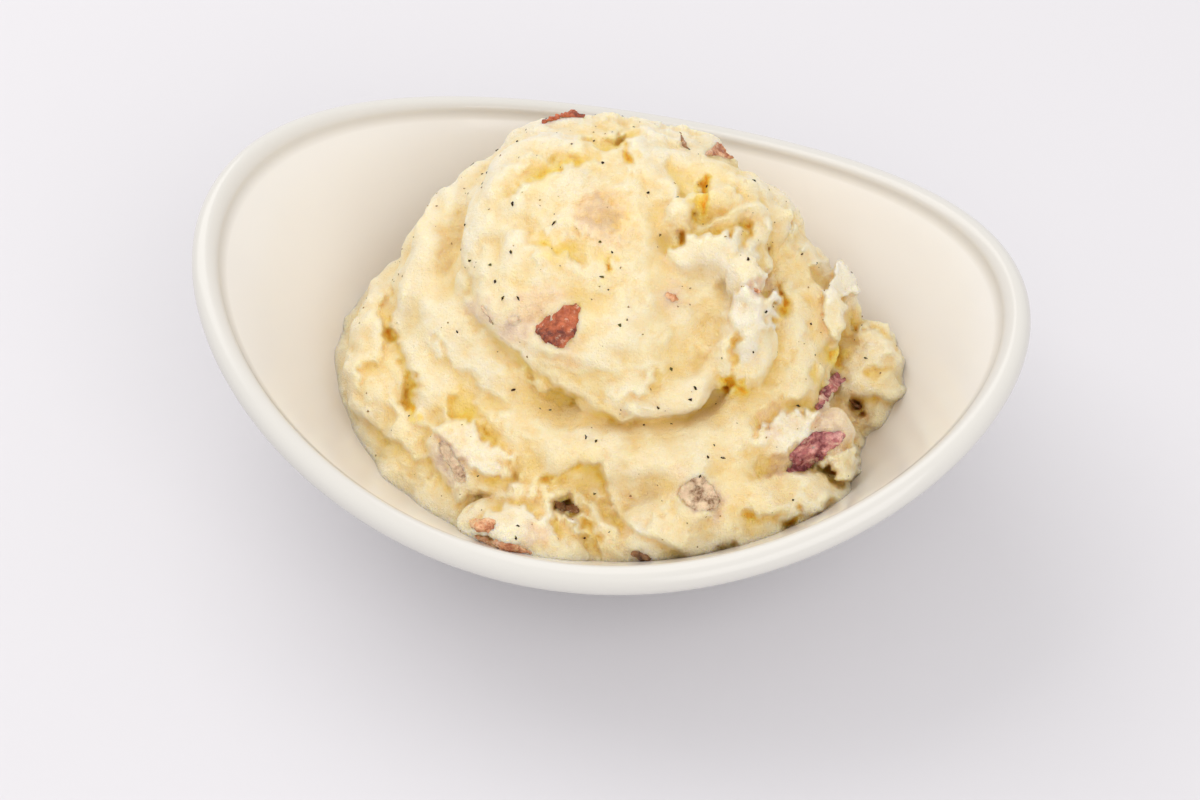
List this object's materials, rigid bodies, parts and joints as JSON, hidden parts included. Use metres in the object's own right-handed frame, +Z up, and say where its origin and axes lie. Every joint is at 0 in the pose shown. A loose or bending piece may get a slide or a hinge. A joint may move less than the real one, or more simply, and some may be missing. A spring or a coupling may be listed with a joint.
{
  "type": "mashed potato side dish in a bowl",
  "caption": "Swirled heap of mashed potatoes with pieces of potato skin, in an oval ivory bowl with a saddle-shaped rim.",
  "frame": {"origin": "middle of the bowl's foot, on the surface that it stands on", "axes": "+Z up, +X along the bowl's long side, +Y away from the side that the picture shows in front"},
  "size_m": [0.1828, 0.1432, 0.0811],
  "materials": {
    "ivory_glaze": "smooth glossy ivory glaze",
    "mash": "moist, soft and lumpy, slightly translucent",
    "potato_skin": "thin moist red potato skin"
  },
  "bodies": {
    "root": {"bowl": "ivory_glaze", "mash": "mash", "skin_crown_front": "potato_skin", "skin_front_knob": "potato_skin", "skin_front_left": "potato_skin", "skin_front_left_edge": "potato_skin", "skin_left": "potato_skin", "skin_right_lower": "potato_skin", "skin_right_upper": "potato_skin", "skin_top_left": "potato_skin", "skin_top_right": "potato_skin"}
  },
  "joints": []
}
